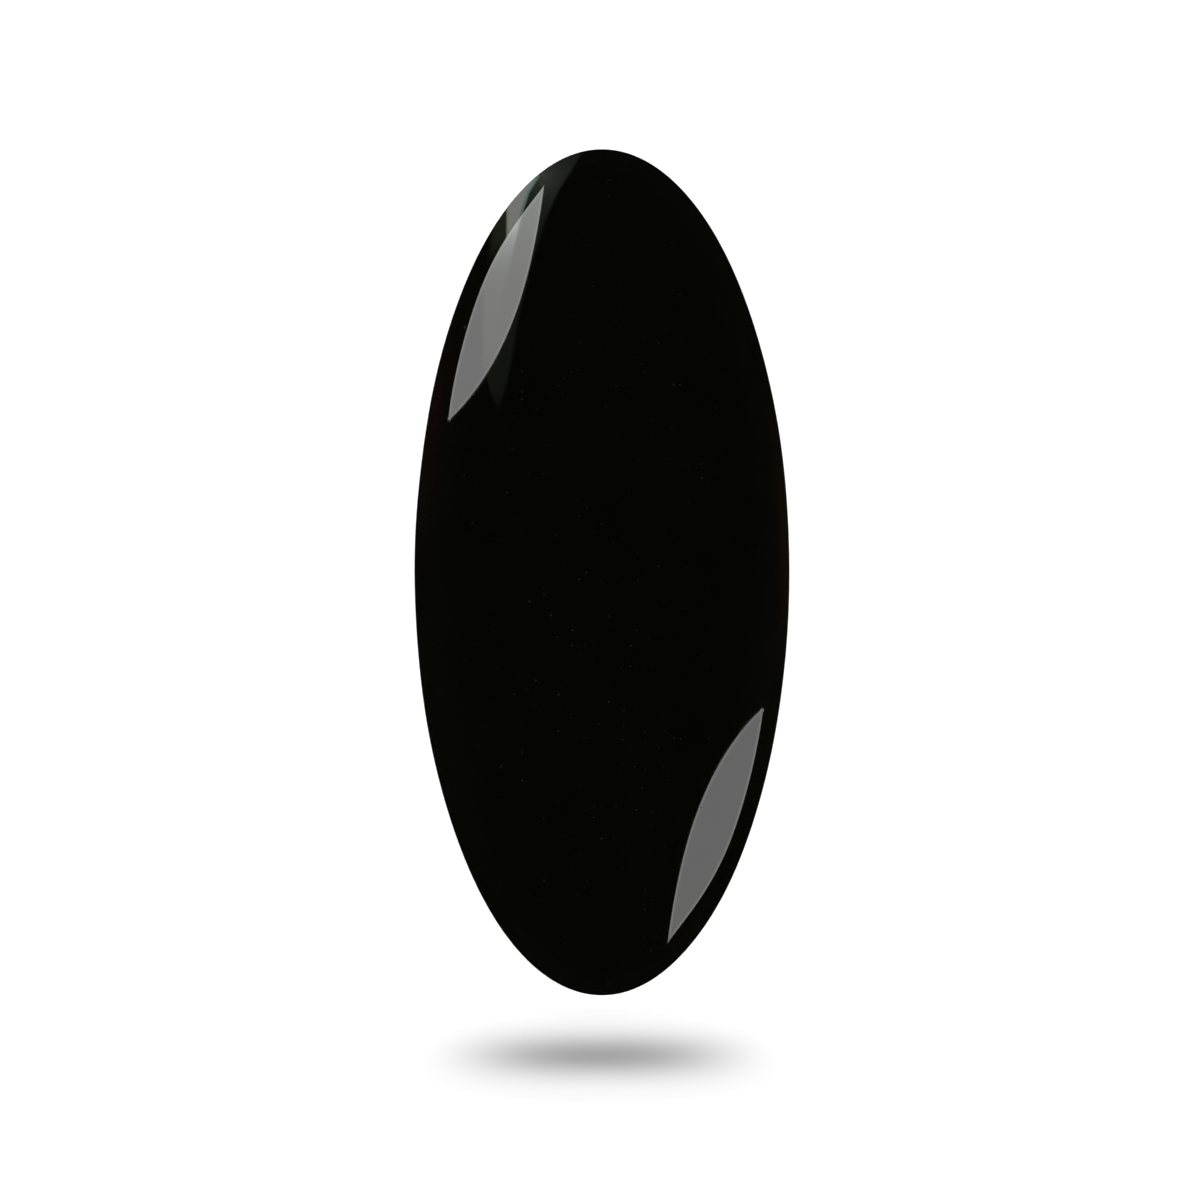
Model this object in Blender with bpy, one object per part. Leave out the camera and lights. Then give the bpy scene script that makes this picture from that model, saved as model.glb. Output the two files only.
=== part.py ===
"""A basalt massage stone for the hand: one long oval pebble of solid rock, polished all over.

The stone lies on a small seat ground into its underside. Its long axis runs along Y, its width along X and
its thickness along Z. The origin is the middle of the seat, so the stone rests on z = 0.
"""

import math

import bmesh
import bpy
from mathutils import Vector

# Driving dimensions, in metres
STONE_LENGTH = 0.100
STONE_WIDTH = 0.0443
BODY_THICKNESS = 0.0204  # of the rounded body, before its seat is ground
SEAT_CUT = 0.0004  # depth ground off the underside, which makes the seat
SEAT_RIM_WIDTH = 0.0008  # of the rounding between the seat and the belly

# The section through the thickness is |across| ** FULLNESS + |height| ** FULLNESS = 1, both counted from
# -1 to 1: 2 is an ellipse, and more than 2 gives flatter faces and a blunter edge.
FULLNESS = 2.1

# Fineness of the mesh
STEPS_AROUND = 96
STEPS_DOWN = 36
RIM_SEGMENTS = 2
WELD_DISTANCE = 1e-4  # on the round body, whose radius is 1

BASALT_COLOUR = (0.0045, 0.0045, 0.0040, 1.0)
BASALT_ROUGHNESS = 0.08
BASALT_IOR = 1.65


def clear_scene():
    for old in list(bpy.data.objects):
        bpy.data.objects.remove(old)


def basalt_material():
    material = bpy.data.materials.new("polished_basalt")
    material.use_nodes = True
    shader = material.node_tree.nodes["Principled BSDF"]
    shader.inputs["Base Color"].default_value = BASALT_COLOUR
    shader.inputs["Roughness"].default_value = BASALT_ROUGHNESS
    shader.inputs["Metallic"].default_value = 0.0
    shader.inputs["IOR"].default_value = BASALT_IOR
    return material


def section_point(step):
    """One point of the half section, whose radii are 1: the crown is step 0, the lowest point STEPS_DOWN."""
    angle = math.pi * step / STEPS_DOWN
    across = max(0.0, math.sin(angle)) ** (2 / FULLNESS)
    height = math.copysign(abs(math.cos(angle)) ** (2 / FULLNESS), math.cos(angle))
    return Vector((across, 0.0, height))


def spin_round_body(bm):
    """Turns the half section once round Z, and welds the seam and the two poles."""
    outline = [bm.verts.new(section_point(step)) for step in range(STEPS_DOWN + 1)]
    edges = [bm.edges.new(pair) for pair in zip(outline, outline[1:])]
    bmesh.ops.spin(
        bm,
        geom=outline + edges,
        cent=(0.0, 0.0, 0.0),
        axis=(0.0, 0.0, 1.0),
        angle=2 * math.pi,
        steps=STEPS_AROUND,
    )
    bmesh.ops.remove_doubles(bm, verts=bm.verts, dist=WELD_DISTANCE)


def stretch_to_oval(bm):
    """Gives the round body the stone's own length, width and thickness."""
    half_sizes = Vector((STONE_WIDTH, STONE_LENGTH, BODY_THICKNESS)) / 2
    bmesh.ops.scale(bm, vec=half_sizes, verts=bm.verts)


def grind_seat(bm):
    """Cuts the underside flat, closes the cut with one flat face, and rounds its rim into the belly."""
    seat_height = SEAT_CUT - BODY_THICKNESS / 2
    bmesh.ops.bisect_plane(
        bm,
        geom=bm.verts[:] + bm.edges[:] + bm.faces[:],
        plane_co=(0.0, 0.0, seat_height),
        plane_no=(0.0, 0.0, -1.0),
        clear_outer=True,
    )
    open_edges = [edge for edge in bm.edges if edge.is_boundary]
    seat = bmesh.ops.edgeloop_fill(bm, edges=open_edges)["faces"][0]
    bmesh.ops.bevel(
        bm,
        geom=seat.edges[:],
        offset=SEAT_RIM_WIDTH,
        offset_type="WIDTH",
        segments=RIM_SEGMENTS,
        profile=0.5,
        affect="EDGES",
    )
    bmesh.ops.translate(bm, vec=(0.0, 0.0, -seat_height), verts=bm.verts)


def make_stone():
    bm = bmesh.new()
    spin_round_body(bm)
    stretch_to_oval(bm)
    grind_seat(bm)
    bmesh.ops.recalc_face_normals(bm, faces=bm.faces)
    mesh = bpy.data.meshes.new("stone")
    bm.to_mesh(mesh)
    bm.free()
    mesh.shade_smooth()
    mesh.materials.append(basalt_material())
    stone = bpy.data.objects.new("stone", mesh)
    bpy.context.scene.collection.objects.link(stone)
    return stone


def main():
    clear_scene()
    make_stone()


main()
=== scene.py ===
import math

import bpy
import numpy as np
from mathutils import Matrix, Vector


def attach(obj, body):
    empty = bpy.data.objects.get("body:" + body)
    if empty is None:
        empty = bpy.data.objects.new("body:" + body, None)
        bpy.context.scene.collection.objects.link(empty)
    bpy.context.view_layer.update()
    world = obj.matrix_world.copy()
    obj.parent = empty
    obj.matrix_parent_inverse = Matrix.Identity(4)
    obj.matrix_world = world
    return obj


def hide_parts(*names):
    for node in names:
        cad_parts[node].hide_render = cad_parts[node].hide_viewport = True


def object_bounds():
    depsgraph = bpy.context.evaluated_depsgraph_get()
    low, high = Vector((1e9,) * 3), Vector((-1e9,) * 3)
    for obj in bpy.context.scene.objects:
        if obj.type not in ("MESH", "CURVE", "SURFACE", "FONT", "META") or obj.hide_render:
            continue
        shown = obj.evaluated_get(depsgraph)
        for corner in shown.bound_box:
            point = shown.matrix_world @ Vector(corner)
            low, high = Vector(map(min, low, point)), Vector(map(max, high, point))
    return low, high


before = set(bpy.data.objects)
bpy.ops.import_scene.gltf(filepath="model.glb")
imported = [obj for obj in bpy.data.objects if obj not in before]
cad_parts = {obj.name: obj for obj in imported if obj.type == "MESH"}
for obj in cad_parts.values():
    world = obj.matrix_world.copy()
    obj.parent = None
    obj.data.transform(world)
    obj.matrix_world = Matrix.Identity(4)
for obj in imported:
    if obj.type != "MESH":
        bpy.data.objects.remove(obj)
cadLow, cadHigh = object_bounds()
mm = 0.001
print("frame loaded, stone is", [round((b - a) / mm, 1) for a, b in zip(cadLow, cadHigh)], "mm")

# the stone's surface, all lengths in metres
stone = {
    "fullness": 2.1,  # of the section: 2 is an ellipse, more gives flatter faces and a blunter edge
    "seatCut": 0.4 * mm,  # ground off the underside
    "seatBlend": 0.12 * mm,  # height over which the seat's rim runs into the belly
    "stepsAround": 440,
    "stepsDown": 216,
    "rippleHeight": 0.012 * mm,  # of each of the slow waves that hand polishing leaves
    "rippleLengths": (17 * mm, 23 * mm, 29 * mm, 36 * mm, 44 * mm),
    "rippleSeed": 5,
}
halfWidth = (cadHigh.x - cadLow.x) / 2
halfLength = (cadHigh.y - cadLow.y) / 2
halfHeight = (cadHigh.z - cadLow.z + stone["seatCut"]) / 2
middle = np.array([(cadHigh.x + cadLow.x) / 2, (cadHigh.y + cadLow.y) / 2, cadHigh.z - halfHeight])
halfSizes = np.array([halfWidth, halfLength, halfHeight])


# a slow wave is height * sin(2 pi (direction . point) / length + phase), and the ripple is their sum
# the result is the ripple's height at each point, and its slope as a vector
def ripple(points):
    chance = np.random.default_rng(stone["rippleSeed"])
    lengths = np.array(stone["rippleLengths"])
    directions = chance.normal(size=(len(lengths), 3))
    directions /= np.linalg.norm(directions, axis=1, keepdims=True)
    phases = chance.uniform(0, 2 * math.pi, len(lengths))
    waves = directions * (2 * math.pi / lengths)[:, None]
    angles = points @ waves.T + phases
    height = stone["rippleHeight"] * np.sin(angles).sum(-1)
    slope = stone["rippleHeight"] * np.cos(angles) @ waves
    return height, slope


# on the stone's surface across ** n + height ** n = 1, where across is the distance from the upright axis
# and height the distance from the widest level, both from 0 to 1. The outward direction is that sum's slope
def outward(points):
    n = stone["fullness"]
    x, y, z = np.moveaxis((points - middle) / halfSizes, -1, 0)
    across = np.maximum(np.hypot(x, y), 1e-9)
    slope = np.stack([x * across ** (n - 2), y * across ** (n - 2), np.sign(z) * np.abs(z) ** (n - 1)], -1)
    slope /= halfSizes
    return slope / np.linalg.norm(slope, axis=-1, keepdims=True)


# the outward direction turned by the ripple's slope along the surface
def polishedNormal(points):
    normal = outward(points)
    slope = ripple(points)[1]
    slope -= normal * (slope * normal).sum(-1, keepdims=True)
    normal = normal - slope
    return normal / np.linalg.norm(normal, axis=-1, keepdims=True)


# the larger of two heights, with the corner between them rounded over the blend
def roundedMaximum(a, b, blend):
    near = np.maximum(blend - np.abs(a - b), 0) / blend
    return np.maximum(a, b) + near * near * blend / 4


# turn goes round the upright axis and drop from the crown, 0, to the seat's middle, pi:
# across = sin(drop) ** (2 / n) and height = cos(drop) ** (2 / n), stretched to the stone's size, moved out
# by the ripple, and never lower than the seat
def stoneSurface(turn, drop):
    power = 2 / stone["fullness"]
    across = np.maximum(np.sin(drop), 0) ** power
    height = np.sign(np.cos(drop)) * np.abs(np.cos(drop)) ** power
    points = np.stack([across * np.cos(turn), across * np.sin(turn), height + 0 * turn], -1)
    points = middle + points * halfSizes
    points = points + outward(points) * ripple(points)[0][..., None]
    points[..., 2] = roundedMaximum(points[..., 2], cadLow.z, stone["seatBlend"])
    return points


# a smooth mesh object from rows of points and lists of point numbers
def makeMesh(name, vertices, faces):
    mesh = bpy.data.meshes.new(name)
    mesh.from_pydata(vertices.tolist(), [], faces)
    mesh.validate()
    mesh.shade_smooth()
    piece = bpy.data.objects.new(name, mesh)
    bpy.context.scene.collection.objects.link(piece)
    return piece


# rings of points from the crown down, closed by one point at the crown and one in the middle of the seat
def makeStone():
    around, down = stone["stepsAround"], stone["stepsDown"]
    turns = np.linspace(0, 2 * math.pi, around, endpoint=False)
    drops = np.linspace(0, math.pi, down + 1)[1:-1]
    rings = stoneSurface(turns[None, :], drops[:, None]).reshape(-1, 3)
    poles = stoneSurface(np.zeros(2), np.array([0, math.pi]))
    crown, seat = len(rings), len(rings) + 1

    here = np.arange(around)
    after = (here + 1) % around
    upper = (np.arange(down - 2) * around)[:, None]
    bands = np.stack([upper + here, upper + around + here, upper + around + after, upper + after], -1)
    lowest = (down - 2) * around
    cap = np.stack([np.full(around, crown), here, after], -1)
    base = np.stack([lowest + after, lowest + here, np.full(around, seat)], -1)
    faces = bands.reshape(-1, 4).tolist() + cap.tolist() + base.tolist()
    return makeMesh("polishedStone", np.concatenate([rings, poles]), faces)


basalt = {
    "black": (0.0013, 0.0013, 0.0005, 1),
    "lighterBlack": (0.0017, 0.0017, 0.0009, 1),
    "speck": (0.0160, 0.0160, 0.014, 1),  # feldspar grains cut by the surface
    "cloudsPerMm": 0.09,
    "specksPerMm": 1.2,
    "speckRadius": 0.21,  # of the largest, as a share of the room that a speck has
    "speckEdge": 2,  # a speck's edge fades over its radius divided by this
    "speckFalloff": 2.0,  # above 1, most specks are faint and few are strong
    "cloudRange": (0.35, 0.65),  # of the noise, over which the black turns into the lighter one
    "cloudDetail": 5,
    "gloss": (0.03, 0.045),  # roughness, from the best polished to the least
    "glossPerMm": 0.27,
    "glossRange": (0.3, 0.7),  # of the noise
    "glossDetail": 4,
    "seatRoughness": 0.32,
    "seatRubbed": (0.05, 0.35),  # mm above the ground, where the rubbing starts to fade and ends
    "ior": 1.65,
    "peelPerMm": 0.55,  # the faint unevenness left by the last polish
    "peelDetail": 2,
    "peelDepth": 0.0004 * mm,
    "pitsPerMm": 0.33,
    "pitRadius": 0.05,  # counted as the specks' radius
    "pitDepth": 0.02 * mm,
}


# gives the new node, and the functions below give its output
def addNode(tree, kind, **settings):
    node = tree.nodes.new(kind)
    for key, value in settings.items():
        setattr(node, key, value)
    return node


def joinNodes(tree, source, target):
    tree.links.new(source, target)


def addMath(tree, operation, *values, clamp=False):
    node = addNode(tree, "ShaderNodeMath", operation=operation, use_clamp=clamp)
    for socket, value in zip(node.inputs, values):
        if isinstance(value, bpy.types.NodeSocket):
            joinNodes(tree, value, socket)
        else:
            socket.default_value = value
    return node.outputs[0]


def addRange(tree, value, fromLow, fromHigh, toLow, toHigh, kind="LINEAR"):
    node = addNode(tree, "ShaderNodeMapRange", interpolation_type=kind)
    settings = {"From Min": fromLow, "From Max": fromHigh, "To Min": toLow, "To Max": toHigh}
    for name, setting in settings.items():
        node.inputs[name].default_value = setting
    joinNodes(tree, value, node.inputs["Value"])
    return node.outputs["Result"]


def addMix(tree, factor, first, second):
    node = addNode(tree, "ShaderNodeMix", data_type="RGBA")
    for socket, value in zip((node.inputs[0], node.inputs[6], node.inputs[7]), (factor, first, second)):
        if isinstance(value, bpy.types.NodeSocket):
            joinNodes(tree, value, socket)
        else:
            socket.default_value = value
    return node.outputs[2]


def addNoise(tree, place, scale, detail):
    node = addNode(tree, "ShaderNodeTexNoise")
    node.inputs["Scale"].default_value = scale
    node.inputs["Detail"].default_value = detail
    joinNodes(tree, place, node.inputs["Vector"])
    return node.outputs["Fac"]


# round spots at scattered points, each 1 in its middle and 0 from its rim out, and a chance number for each:
# 1 - distance / (another chance number * radius)
def addSpots(tree, place, scale, radius):
    cells = addNode(tree, "ShaderNodeTexVoronoi")
    cells.inputs["Scale"].default_value = scale
    joinNodes(tree, place, cells.inputs["Vector"])
    chances = addNode(tree, "ShaderNodeSeparateColor")
    joinNodes(tree, cells.outputs["Color"], chances.inputs[0])
    reach = addMath(tree, "MULTIPLY", chances.outputs[0], radius)
    share = addMath(tree, "DIVIDE", cells.outputs["Distance"], reach)
    return addMath(tree, "SUBTRACT", 1, share, clamp=True), chances.outputs[1]


# black with lighter clouds and specks, polished, and dull on the seat
def polishedBasalt():
    material = bpy.data.materials.new("polishedBasalt")
    material.use_nodes = True
    tree = material.node_tree
    shader = tree.nodes["Principled BSDF"]
    shader.inputs["Metallic"].default_value = 0
    shader.inputs["IOR"].default_value = basalt["ior"]

    # every pattern is placed in millimetres
    place = addNode(tree, "ShaderNodeTexCoord").outputs["Object"]
    scaled = addNode(tree, "ShaderNodeMapping")
    scaled.inputs["Scale"].default_value = (1 / mm,) * 3
    joinNodes(tree, place, scaled.inputs["Vector"])
    place = scaled.outputs["Vector"]

    # slow clouds of a lighter black, and light mineral specks of different sizes
    clouds = addNoise(tree, place, basalt["cloudsPerMm"], basalt["cloudDetail"])
    clouds = addRange(tree, clouds, *basalt["cloudRange"], 0, 1, "SMOOTHSTEP")
    colour = addMix(tree, clouds, basalt["black"], basalt["lighterBlack"])
    speck, light = addSpots(tree, place, basalt["specksPerMm"], basalt["speckRadius"])
    speck = addMath(tree, "MULTIPLY", speck, basalt["speckEdge"], clamp=True)
    speck = addMath(tree, "MULTIPLY", speck, addMath(tree, "POWER", light, basalt["speckFalloff"]))
    colour = addMix(tree, speck, colour, basalt["speck"])
    joinNodes(tree, colour, shader.inputs["Base Color"])

    # gloss that varies a little, and a duller seat
    worn = addNoise(tree, place, basalt["glossPerMm"], basalt["glossDetail"])
    rough = addRange(tree, worn, *basalt["glossRange"], *basalt["gloss"])
    height = addNode(tree, "ShaderNodeSeparateXYZ")
    joinNodes(tree, place, height.inputs[0])
    levels = (*basalt["seatRubbed"], basalt["seatRoughness"], 0)
    rubbed = addRange(tree, height.outputs["Z"], *levels, "SMOOTHSTEP")
    joinNodes(tree, addMath(tree, "MAXIMUM", rough, rubbed), shader.inputs["Roughness"])

    # faint unevenness and a few pinhead pits
    peel = addNode(tree, "ShaderNodeBump")
    peel.inputs["Distance"].default_value = basalt["peelDepth"]
    joinNodes(tree, addNoise(tree, place, basalt["peelPerMm"], basalt["peelDetail"]), peel.inputs["Height"])
    pit = addSpots(tree, place, basalt["pitsPerMm"], basalt["pitRadius"])[0]
    pits = addNode(tree, "ShaderNodeBump")
    pits.inputs["Distance"].default_value = basalt["pitDepth"]
    joinNodes(tree, addMath(tree, "SUBTRACT", 1, pit), pits.inputs["Height"])
    joinNodes(tree, peel.outputs["Normal"], pits.inputs["Normal"])
    joinNodes(tree, pits.outputs["Normal"], shader.inputs["Normal"])
    return material


piece = makeStone()
piece.data.materials.append(polishedBasalt())
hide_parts("stone")
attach(piece, "root")
print("stone made,", len(piece.data.polygons), "faces")

# looking straight down on the stone, with its long axis upright in the frame
camera = {
    "lens": 100,  # mm
    "sensor": 36,  # mm
    "span": 141.9 * mm,  # what the frame takes in, at the level where the stone is widest
    "aim": (-0.25 * mm, -3.29 * mm),  # the frame's middle, beside the stone's own
}
eye = np.array([*camera["aim"], middle[2] + camera["span"] * camera["lens"] / camera["sensor"]])


def makeCamera():
    data = bpy.data.cameras.new("camera")
    data.lens = camera["lens"]
    data.sensor_width = camera["sensor"]
    holder = bpy.data.objects.new("camera", data)
    holder.location = eye
    bpy.context.scene.collection.objects.link(holder)
    bpy.context.scene.camera = holder


makeCamera()
print("camera placed")

# the cards that the polish mirrors
cards = {
    "distance": 110 * mm,  # from the stone's middle
    "lift": 0.3 * mm,  # above the floor, for the part that would reach below it
    "halvings": 40,  # of each ray
    "rayEnd": 0.01,  # above the widest level, as a share of half the height
    "leafGrid": (160, 49),  # points along and across
    "windowGrid": (520, 150),
    "rimGrid": (120, 60),
    "rimGap": 0.03,  # what is left free at the rim, as a share of the grid's own depth, before squaring
}


# where the rays from the eye through plan points at the widest level meet the stone, found by halving the
# part of each ray between the crown's level and a little above the widest one. The mirrored direction is
# ray + 2 * facing * normal, where facing is the cosine between the normal and the way back to the eye
def mirroredRays(planX, planY):
    n = stone["fullness"]
    plan = np.stack([planX, planY, np.full_like(planX, middle[2])], -1)
    ray = plan - eye
    ray /= np.linalg.norm(ray, axis=-1, keepdims=True)
    near = (cadHigh.z - eye[2]) / ray[..., 2]
    far = (middle[2] + cards["rayEnd"] * halfHeight - eye[2]) / ray[..., 2]
    for _ in range(cards["halvings"]):
        half = (near + far) / 2
        x, y, z = np.moveaxis((eye + ray * half[..., None] - middle) / halfSizes, -1, 0)
        inside = np.hypot(x, y) ** n + np.abs(z) ** n < 1
        far = np.where(inside, half, far)
        near = np.where(inside, near, half)
    place = eye + ray * near[..., None]
    normal = polishedNormal(place)
    facing = -(ray * normal).sum(-1)
    return place, ray + 2 * facing[..., None] * normal, facing


# the share of light that a polished surface mirrors, from the sines and cosines of both angles (Fresnel)
def mirroredShare(facing):
    inner = np.sqrt(1 - (1 - facing ** 2) / basalt["ior"] ** 2)
    cross = (facing - basalt["ior"] * inner) / (facing + basalt["ior"] * inner)
    along = (inner - basalt["ior"] * facing) / (inner + basalt["ior"] * facing)
    return (cross ** 2 + along ** 2) / 2


# a card gives light and is clear, so that one card doesn't hide another
def cardGlow():
    material = bpy.data.materials.new("cardGlow")
    material.use_nodes = True
    material.cycles.emission_sampling = "NONE"
    tree = material.node_tree
    tree.nodes.clear()
    glow = addNode(tree, "ShaderNodeAttribute", attribute_name="glow")
    lit = addNode(tree, "ShaderNodeEmission")
    both = addNode(tree, "ShaderNodeAddShader")
    joinNodes(tree, glow.outputs["Color"], lit.inputs["Color"])
    joinNodes(tree, lit.outputs[0], both.inputs[0])
    joinNodes(tree, addNode(tree, "ShaderNodeBsdfTransparent").outputs[0], both.inputs[1])
    joinNodes(tree, both.outputs[0], addNode(tree, "ShaderNodeOutputMaterial").inputs["Surface"])
    return material


glowMaterial = cardGlow()


# a curved card whose reflection fills the given places of the plan with the given brightness:
# each of its points is where the mirrored ray meets the shell round the stone, or the floor
def makeCard(name, planX, planY, brightness):
    place, direction, facing = mirroredRays(planX, planY)
    start = place - middle
    along = (start * direction).sum(-1)
    reach = -along + np.sqrt(along ** 2 - (start ** 2).sum(-1) + cards["distance"] ** 2)
    down = np.minimum(direction[..., 2], -1e-6)
    reach = np.minimum(reach, (cards["lift"] - place[..., 2]) / down)
    points = place + direction * reach[..., None]
    rows, columns = planX.shape
    corner = (np.arange(rows - 1) * columns)[:, None] + np.arange(columns - 1)
    faces = np.stack([corner, corner + 1, corner + columns + 1, corner + columns], -1).reshape(-1, 4)
    card = makeMesh(name, points.reshape(-1, 3), faces.tolist())
    glow = np.ones((rows * columns, 4))
    glow[:, :3] = (brightness / mirroredShare(facing)[..., None]).reshape(-1, 3)
    card.data.attributes.new("glow", "FLOAT_COLOR", "POINT").data.foreach_set("color", glow.ravel())
    card.data.materials.append(glowMaterial)
    card.visible_camera = False
    card.visible_diffuse = False
    card.visible_transmission = False
    card.visible_volume_scatter = False
    card.visible_shadow = False


# 0 before the start, 1 after the end, and smooth between them
def easeIn(value, start, end):
    share = np.clip((value - start) / (end - start), 0, 1)
    return share * share * (3 - 2 * share)


# a leaf-shaped reflection, where s runs from 0 at the tip to 1 at the tail. On each side of the line between
# them, width = bulge * (4 s (1 - s)) ** power * (1 + lean * (s - 0.5)), with tipPower up to halfway and
# tailPower after it. At a blunt end the width is the root of its own square plus the square of half the
# chord of a small circle. Plan places, bulges and radii are in mm
upperLeaf = {
    "tip": (-6.85, 45.81),
    "tail": (-18.15, 17.99),
    "bulges": (2.3, 2.57),  # left and right, looking along from tail to tip
    "leans": (-0.41, 0.51),
    "tipPowers": (1.22, 1.0),
    "tailPowers": (0.86, 0.95),
    "rounding": (0, 0.17),  # the circle's radius at the tip and at the tail
    "level": 0.165,
    "sideFrom": (-14.1, 24.7),  # lighter right of this x and above this y
    "sideSoftness": (0.35, 1.5),
    "sideGlow": (0.027, 0.027, 0.020),
    "tipFrom": 0.45,  # lighter from this s to the tip
    "tipPower": 1.2,
    "tipGlow": (0.052, 0.064, 0.055),
    "streakFrom": (40.8, 2.6),  # the y from which a streak goes down, and how fast it fades
    "streakTop": (0.2, 2.2),  # above that y, where its upper end starts to fade and ends
    "streakEdge": (-9.75, 0.24),  # its right edge: x at that y, and the lean
    "streakSoftness": (-0.3, 0.1),
    "streakGlow": (0.158, 0.175, 0.173),
}
lowerLeaf = {
    "tip": (19.04, -16.14),
    "tail": (7.76, -43.93),
    "bulges": (2.6, 2.26),
    "leans": (-0.5, 0.45),
    "tipPowers": (0.9, 0.92),
    "tailPowers": (0.97, 1.29),
    "rounding": (0.19, 0),
    "level": 0.130,
}
leafRim = {
    "glow": 0.07,  # how much lighter a leaf's very edge is
    "width": 0.34,  # mm
}


# the width at s, on the left where the side is below 0 and on the right elsewhere
def leafWidth(leaf, s, side):
    names = ("bulges", "leans", "tipPowers", "tailPowers")
    bulge, lean, tipPower, tailPower = (np.where(side < 0, *leaf[name]) for name in names)
    power = np.where(s < 0.5, tipPower, tailPower)
    width = bulge * np.clip(4 * s * (1 - s), 0, 1) ** power * (1 + lean * (s - 0.5))
    length = math.dist(leaf["tip"], leaf["tail"])
    for end, radius in zip((s, 1 - s), leaf["rounding"]):
        width = np.sqrt(width ** 2 + np.maximum(radius ** 2 - (end * length - radius) ** 2, 0))
    return width


# a place is tip + (tail - tip) * s + right * width * t, where t runs from -1 to 1. The grid closes up
# towards the ends and both edges: s is half of 1 - cosine, and t the sine, of evenly spaced angles
def leafPlan(leaf):
    steps, across = cards["leafGrid"]
    s = ((1 - np.cos(np.linspace(0, math.pi, steps))) / 2)[:, None]
    t = np.sin(np.linspace(-math.pi / 2, math.pi / 2, across))[None, :]
    tip, tail = np.array(leaf["tip"]), np.array(leaf["tail"])
    line = (tail - tip) / np.linalg.norm(tail - tip)
    right = np.array([-line[1], line[0]])
    width = leafWidth(leaf, s, t)
    x = tip[0] + (tail - tip)[0] * s + right[0] * width * t
    y = tip[1] + (tail - tip)[1] * s + right[1] * width * t
    rim = leafRim["glow"] * (1 - easeIn((1 - np.abs(t)) * width, 0, leafRim["width"]))
    rim = rim * np.minimum(width / leafRim["width"], 1)
    return s, x, y, rim


# 1 past the edge and 0 before it, over the softness on either side
def pastEdge(value, edge, softness):
    return easeIn(value, edge - softness, edge + softness)


# a colour at each place, from how much of it there is
def coloured(share, colour):
    return share[..., None] * np.array(colour)


# a leaf's brightness is level + rim, and the upper one also has its lighter side, its lighter tip, which is
# glow * (1 - s / start) ** power, and a streak, which is glow * exp(-distance below its top / fade)
def makeLeaves():
    leaf = upperLeaf
    s, x, y, rim = leafPlan(leaf)
    side = pastEdge(x, leaf["sideFrom"][0], leaf["sideSoftness"][0])
    side = side * pastEdge(y, leaf["sideFrom"][1], leaf["sideSoftness"][1])
    tip = np.maximum(1 - s / leaf["tipFrom"], 0) ** leaf["tipPower"] + 0 * x
    top, fade = leaf["streakFrom"]
    low, high = leaf["streakTop"]
    edge = leaf["streakEdge"][0] - leaf["streakEdge"][1] * (top - y)
    streak = np.exp((np.minimum(y, top) - top) / fade) * easeIn(y, top + high, top + low)
    streak = streak * (1 - easeIn(x - edge, *leaf["streakSoftness"]))
    colour = (leaf["level"] + rim)[..., None] + coloured(side, leaf["sideGlow"])
    colour += coloured(tip, leaf["tipGlow"]) + coloured(streak, leaf["streakGlow"])
    makeCard("upperLeafCard", x * mm, y * mm, colour)
    s, x, y, rim = leafPlan(lowerLeaf)
    makeCard("lowerLeafCard", x * mm, y * mm, coloured(lowerLeaf["level"] + rim, (1, 1, 1)))


# the window's own reflection, beside the upper leaf: places in mm and brightness as on the leaves
# edges are points from the top down, and each softness is how far an edge fades on either side
window = {
    "turns": (92, 150),  # degrees round the oval that the card covers
    "inner": 0.6,  # where it starts on the way from the middle to the rim
    "leafSoftness": 0.06,
    "paneLeft": -11.3,
    "paneRight": ((-7.42, 46.77), (-8.59, 44.9), (-9.33, 42.7), (-10.2, 39.0)),
    "paneSoftness": (0.12, 0.08),  # left and right
    "paneFoot": (38.5, 39.5),  # the leaf hides its lower end
    "pane": (0.168, 0.171, 0.165),
    "leftFringe": (0.140, 0.150, 0.105),  # the pane's coloured fringes
    "leftFringeAt": (0.1, 0.4),  # right of its left edge
    "rightFringe": (0.085, 0.125, 0.115),
    "rightFringeAt": (-0.5, -0.15),  # left of its right edge
    "frame": (0.0048, 0.0056, 0.0046),
    "frameRight": (
        (-2.3, 49.7), (-5.3, 44.9), (-6.9, 41.2), (-8.6, 35.5), (-10.0, 29.5), (-10.8, 24.5), (-12.2, 19.0),
    ),
    "frameLeft": ((-9.6, 39.0), (-14.5, 26.8), (-13.7, 23.0), (-12.4, 19.0)),  # below the pane
    "frameSoftness": (0.08, 0.25),  # left and right
    "frameFoot": (18.3, 21.8),  # between these heights it fades out
    "corner": (-7.0, 47.0),  # where the frame is lightest
    "cornerGlow": (0.027, 0.033, 0.028),
    "cornerFade": 2.0,
    "outer": (0.0095, 0.0106, 0.0075),
    "outerLeft": ((-12.4, 42.4), (-13.2, 38.6), (-13.6, 36.0)),  # left of the pane
    "outerSoftness": 0.3,
    "outerFoot": (35.5, 40.5),
}


# a grid that closes up towards the rim: the share of the way out is 1 - (1 - inner) * v * v, with v from 1
# down to the gap
def rimPlan(turnLow, turnHigh, inner, grid):
    turn = np.radians(np.linspace(turnLow, turnHigh, grid[0]))[:, None]
    out = 1 - (1 - inner) * np.linspace(1, cards["rimGap"], grid[1])[None, :] ** 2
    return halfWidth / mm * out * np.cos(turn), halfLength / mm * out * np.sin(turn), out


# the x of an edge at each height y, straight between its points
def edgeAt(points, y):
    points = np.array(points)[::-1]
    return np.interp(y, points[:, 1], points[:, 0])


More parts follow.
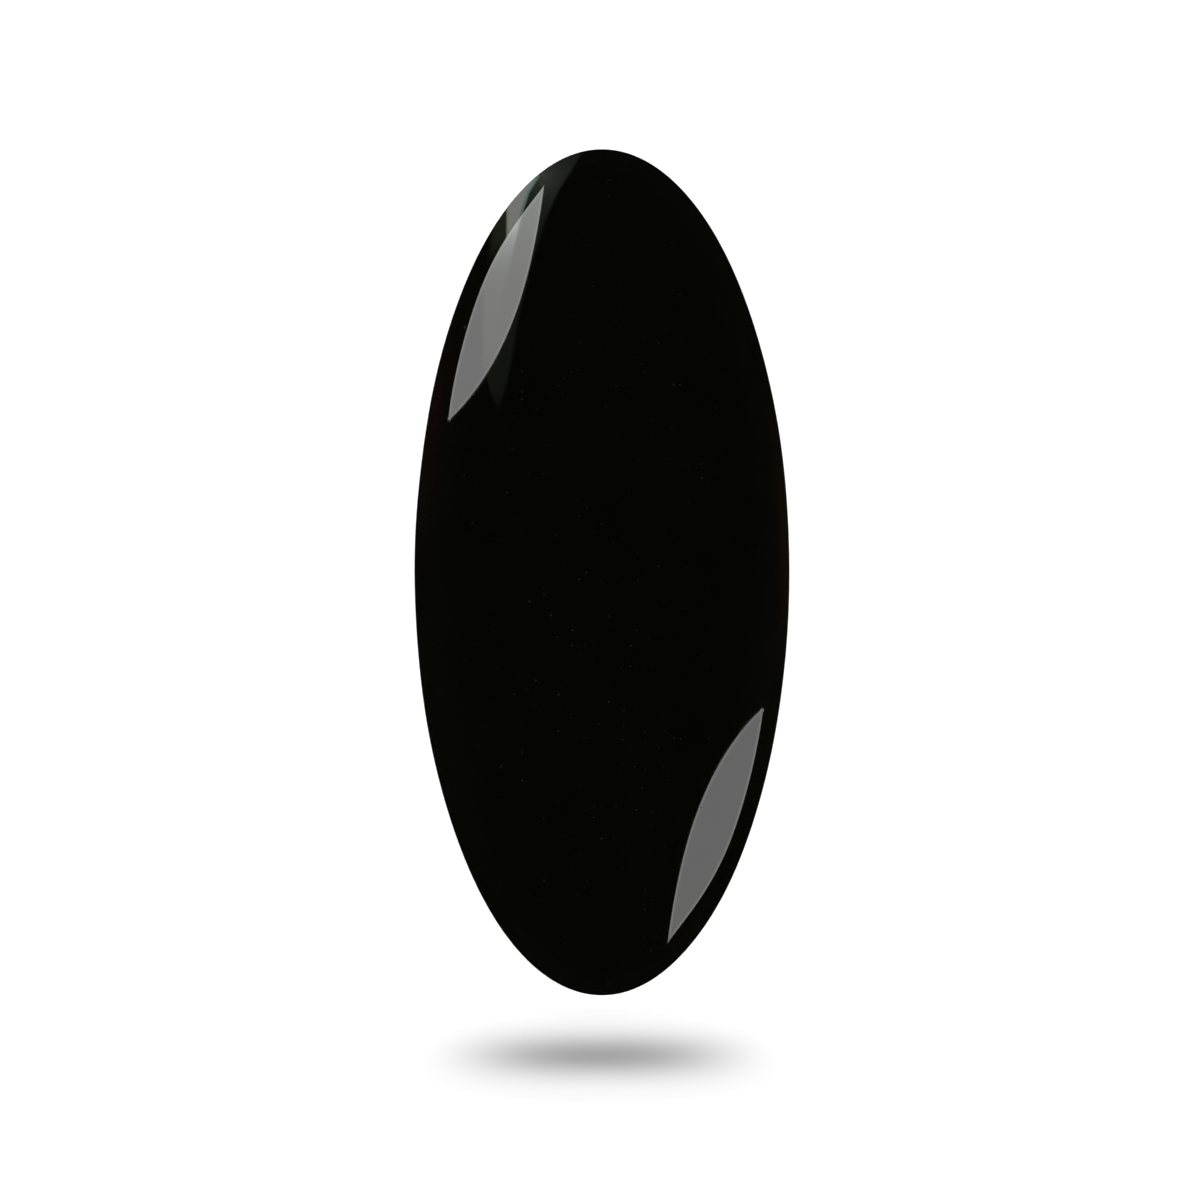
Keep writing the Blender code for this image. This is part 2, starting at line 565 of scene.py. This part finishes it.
# 1 inside a leaf and 0 outside, from the same formula as the leaf
def insideLeaf(leaf, x, y, softness):
    tip, tail = np.array(leaf["tip"]), np.array(leaf["tail"])
    line = (tail - tip) / np.linalg.norm(tail - tip)
    s = ((x - tip[0]) * line[0] + (y - tip[1]) * line[1]) / np.linalg.norm(tail - tip)
    off = -(x - tip[0]) * line[1] + (y - tip[1]) * line[0]
    width = leafWidth(leaf, s, off)
    return np.clip((width - np.abs(off)) / (2 * softness) + 0.5, 0, 1) * (s > 0) * (s < 1)


# the pane between its two edges, the frame on its right and the outer strip on its left, all dark in the
# leaf
def makeWindow():
    x, y = rimPlan(*window["turns"], window["inner"], cards["windowGrid"])[:2]
    left, right = window["paneLeft"], edgeAt(window["paneRight"], y)
    leftSoftness, rightSoftness = window["paneSoftness"]
    pastLeft = pastEdge(x, left, leftSoftness)
    above = easeIn(y, *window["paneFoot"])
    inPane = above * pastLeft * (1 - pastEdge(x, right, rightSoftness))
    rightFringe = easeIn(x - right, *window["rightFringeAt"])
    leftFringe = 1 - easeIn(x - left, *window["leftFringeAt"])
    pane = coloured(1 - rightFringe, window["pane"]) + coloured(rightFringe, window["rightFringe"])
    pane = pane * (1 - leftFringe)[..., None] + coloured(leftFringe, window["leftFringe"])

    leftSoftness, rightSoftness = window["frameSoftness"]
    start = np.where(above > 0, right, edgeAt(window["frameLeft"], y))
    end = edgeAt(window["frameRight"], y)
    inFrame = pastEdge(x, start, leftSoftness) * (1 - pastEdge(x, end, rightSoftness))
    inFrame = inFrame * easeIn(y, *window["frameFoot"])
    corner = window["corner"]
    near = np.exp(-np.hypot(x - corner[0], y - corner[1]) / window["cornerFade"])
    frameLight = np.array(window["frame"]) + coloured(near, window["cornerGlow"])

    inOuter = (1 - pastLeft) * pastEdge(x, edgeAt(window["outerLeft"], y), window["outerSoftness"])
    inOuter = inOuter * easeIn(y, *window["outerFoot"])
    colour = inPane[..., None] * pane + inFrame[..., None] * frameLight + coloured(inOuter, window["outer"])
    colour *= 1 - insideLeaf(upperLeaf, x, y, window["leafSoftness"])[..., None]
    makeCard("windowCard", x * mm, y * mm, colour)


# faint warm strips along the two long sides of the rim: turns in degrees, widths in mm
rimTints = {
    "leftRimCard": {"turns": (138, 182), "width": 1.6, "colour": (0.0026, 0.0005, 0.0008)},
    "rightRimCard": {"turns": (-18, 30), "width": 1.2, "colour": (0.0024, 0.0015, 0.0004)},
}
rimFade = {
    "ends": 1.5,  # the power of the sine along a strip, which is 0 at both ends
    "across": (0.6, 1.3),  # from the rim inwards, where a strip starts to fade and ends, in its widths
    "depth": 1.5,  # of its card, in its widths
}


# sine of the share of the way along ** power, times the fade from the rim inwards
def makeRimTints():
    for name, tint in rimTints.items():
        width = tint["width"]
        inner = 1 - rimFade["depth"] * width * mm / halfWidth
        x, y, out = rimPlan(*tint["turns"], inner, cards["rimGrid"])
        share = np.sin(np.linspace(0, math.pi, len(x)))[:, None] ** rimFade["ends"]
        start, end = rimFade["across"]
        share = share * (1 - easeIn((1 - out) * halfWidth / mm, start * width, end * width))
        makeCard(name, x * mm, y * mm, coloured(share, tint["colour"]))


makeLeaves()
makeWindow()
makeRimTints()
print("cards made")

# the plain studio round the stone
studio = {
    "floorSize": 12.0,
    "floorColour": 0.9,
    "domeLight": 0.9,
    "backdrop": 0.81,  # what the camera sees of the dome, which the far floor comes down to
    "mirroredHigh": 0.003,  # how light the polish mirrors the dome overhead,
    "mirroredHorizon": 0.010,  # the horizon
    "mirroredNear": 0.005,  # and the floor nearby
    "mirroredReach": (20 * mm, 150 * mm),  # where the floor turns from near to horizon
    "mirroredTop": 0.64,  # the sine of the height angle at which the dome is at its darkest
    "overheadPower": 26,  # W, on the floor alone, so that it burns out to white round the stone
    "overheadRadius": 0.18,
    "overheadHeight": 0.7,
    "overheadCone": 44,  # degrees
    "overheadBlend": 0.8,  # the outer share of the cone, over which the light fades out
}

# a painted shadow: a soft darkening painted into the floor's colour beyond the stone's lower end, where u
# and v are the distances from its middle
# darkness = depth * (1 - |u| ** power) ** power * exp(-v * v / 2), u from -1 to 1 and v counted in blurs
# the floor is dimmed from its burnt out white down to plain white inside the painted shadow, so that it is
# seen
paintedShadow = {
    "middle": (-0.25 * mm, -58.5 * mm),
    "halfLength": 24.25 * mm,
    "blur": 1.97 * mm,
    "depth": 0.62,
    "power": 2.4,
    "reach": 2.85,  # blurs up and down to its outline
    "burntOut": 1.72,  # how many times brighter than white the floor is in the middle
    "burntOutSlope": -0.022,  # and how much that changes with each blur towards the stone
    "fadeOut": 1.15,  # where the dimming ends, counted from 1 on its outline
}


# the floor's colour with the painted shadow, by the formula above, and the place that it is worked out from
def floorWithPaintedShadow(tree):
    place = addNode(tree, "ShaderNodeTexCoord").outputs["Object"]
    fitted = addNode(tree, "ShaderNodeMapping", vector_type="TEXTURE")
    fitted.inputs["Location"].default_value = (*paintedShadow["middle"], 0)
    fitted.inputs["Scale"].default_value = (paintedShadow["halfLength"], paintedShadow["blur"], 1)
    joinNodes(tree, place, fitted.inputs["Vector"])
    parts = addNode(tree, "ShaderNodeSeparateXYZ")
    joinNodes(tree, fitted.outputs["Vector"], parts.inputs[0])
    u = addMath(tree, "ABSOLUTE", parts.outputs["X"])
    v = parts.outputs["Y"]
    square = addMath(tree, "MULTIPLY", v, v)
    along = addMath(tree, "SUBTRACT", 1, addMath(tree, "POWER", u, paintedShadow["power"]), clamp=True)
    along = addMath(tree, "MULTIPLY", addMath(tree, "POWER", along, paintedShadow["power"]), paintedShadow["depth"])
    across = addMath(tree, "EXPONENT", addMath(tree, "MULTIPLY", square, -0.5))
    # the painted shadow's darkness, which is taken off the floor's colour below
    dark = addMath(tree, "MULTIPLY", along, across)
    distance = addMath(tree, "MULTIPLY_ADD", square, paintedShadow["reach"] ** -2, addMath(tree, "MULTIPLY", u, u))
    distance = addMath(tree, "SQRT", distance)
    burntOut = addMath(tree, "MULTIPLY_ADD", v, paintedShadow["burntOutSlope"], paintedShadow["burntOut"])
    outside = addRange(tree, distance, 1, paintedShadow["fadeOut"], 0, 1, "SMOOTHSTEP")
    dimmed = addMath(tree, "DIVIDE", addMath(tree, "SUBTRACT", 1, dark), burntOut)
    rest = addMath(tree, "MULTIPLY", outside, addMath(tree, "SUBTRACT", 1, dimmed))
    return place, addMath(tree, "MULTIPLY", addMath(tree, "ADD", dimmed, rest), studio["floorColour"])


# a plane that is matt and white to look at, with a painted shadow in its colour, and dark where the polish
# mirrors it
def makeFloor():
    half = studio["floorSize"] / 2
    corners = np.array([[-half, -half, 0], [half, -half, 0], [half, half, 0], [-half, half, 0]])
    floor = makeMesh("floor", corners, [[0, 1, 2, 3]])
    material = bpy.data.materials.new("floorWhite")
    material.use_nodes = True
    material.cycles.emission_sampling = "NONE"
    tree = material.node_tree
    tree.nodes.clear()
    place, light = floorWithPaintedShadow(tree)
    matt = addNode(tree, "ShaderNodeBsdfDiffuse")
    joinNodes(tree, light, matt.inputs["Color"])
    length = addNode(tree, "ShaderNodeVectorMath", operation="LENGTH")
    joinNodes(tree, place, length.inputs[0])
    dim = addNode(tree, "ShaderNodeEmission")
    levels = (*studio["mirroredReach"], studio["mirroredNear"], studio["mirroredHorizon"])
    joinNodes(tree, addRange(tree, length.outputs["Value"], *levels), dim.inputs["Strength"])
    mixed = addNode(tree, "ShaderNodeMixShader")
    joinNodes(tree, addNode(tree, "ShaderNodeLightPath").outputs["Is Glossy Ray"], mixed.inputs[0])
    joinNodes(tree, matt.outputs[0], mixed.inputs[1])
    joinNodes(tree, dim.outputs[0], mixed.inputs[2])
    joinNodes(tree, mixed.outputs[0], addNode(tree, "ShaderNodeOutputMaterial").inputs["Surface"])
    floor.data.materials.append(material)
    return floor


# light from all round, which the polish mirrors as a dark dome
def makeDome():
    world = bpy.data.worlds.new("dome")
    bpy.context.scene.world = world
    world.use_nodes = True
    tree = world.node_tree
    tree.nodes.clear()
    path = addNode(tree, "ShaderNodeLightPath")
    height = addNode(tree, "ShaderNodeSeparateXYZ")
    joinNodes(tree, addNode(tree, "ShaderNodeTexCoord").outputs["Generated"], height.inputs[0])
    levels = (0, studio["mirroredTop"], studio["mirroredHorizon"], studio["mirroredHigh"])
    mirrored = addRange(tree, height.outputs["Z"], *levels, "SMOOTHSTEP")
    seen = addRange(tree, path.outputs["Is Camera Ray"], 0, 1, studio["domeLight"], studio["backdrop"])
    sky = addNode(tree, "ShaderNodeBackground")
    joinNodes(tree, addMix(tree, path.outputs["Is Glossy Ray"], seen, mirrored), sky.inputs["Color"])
    joinNodes(tree, sky.outputs[0], addNode(tree, "ShaderNodeOutputWorld").inputs["Surface"])


# one lamp over the stone, which lights the floor and nothing else
def makeOverhead(floor):
    data = bpy.data.lights.new("overhead", "SPOT")
    data.shadow_soft_size = studio["overheadRadius"]
    data.spot_size = math.radians(studio["overheadCone"])
    data.spot_blend = studio["overheadBlend"]
    data.energy = studio["overheadPower"]
    light = bpy.data.objects.new("overhead", data)
    light.location.z = studio["overheadHeight"]
    bpy.context.scene.collection.objects.link(light)
    light.visible_camera = False
    light.visible_glossy = False
    lit = bpy.data.collections.new("litByOverhead")
    lit.objects.link(floor)
    light.light_linking.receiver_collection = lit


makeOverhead(makeFloor())
makeDome()
bpy.context.scene.view_settings.view_transform = "Standard"
print("studio made")
